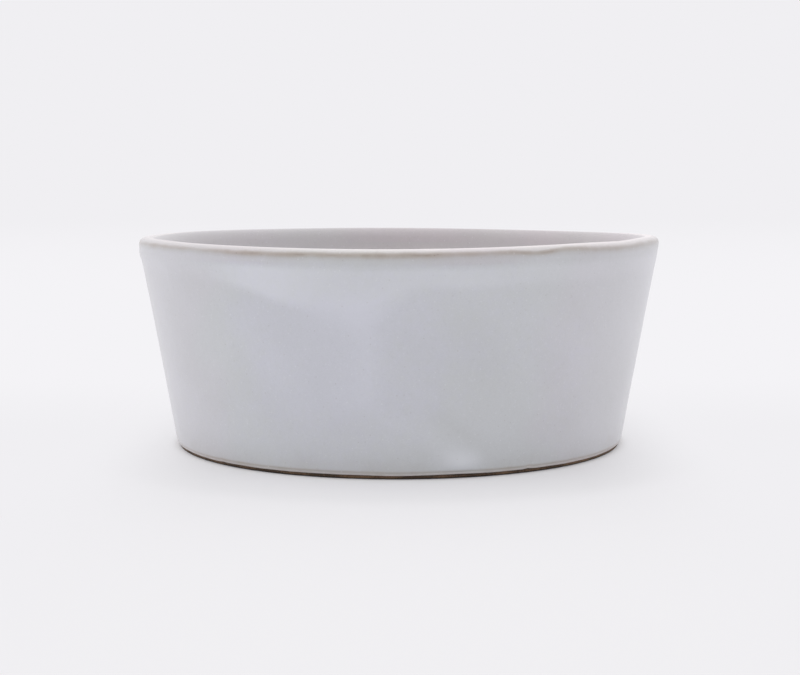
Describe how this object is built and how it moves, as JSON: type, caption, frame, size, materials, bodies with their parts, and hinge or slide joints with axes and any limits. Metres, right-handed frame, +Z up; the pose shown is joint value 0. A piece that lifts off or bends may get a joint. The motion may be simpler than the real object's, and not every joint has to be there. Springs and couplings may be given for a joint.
{
  "type": "stoneware bowl",
  "caption": "Shallow round stoneware bowl with straight flaring walls, a rounded lip, a flat inside floor and a low unglazed foot ring, coated in pale matt glaze.",
  "frame": {"origin": "on the axis, in the plane that the foot ring stands on", "axes": "+Z up along the axis towards the mouth; -Y is the front, where the glaze has run"},
  "size_m": [0.1492, 0.1492, 0.0594],
  "materials": {
    "bare_clay": "matte",
    "pale_glaze": "satin",
    "lip_glaze": "satin",
    "inside_glaze": "satin",
    "underside_glaze": "satin"
  },
  "bodies": {
    "root": {"stoneware_body": "bare_clay", "outer_glaze": "pale_glaze", "lip_glaze": "lip_glaze", "inner_glaze": "inside_glaze", "foot_recess_glaze": "underside_glaze"}
  },
  "joints": []
}
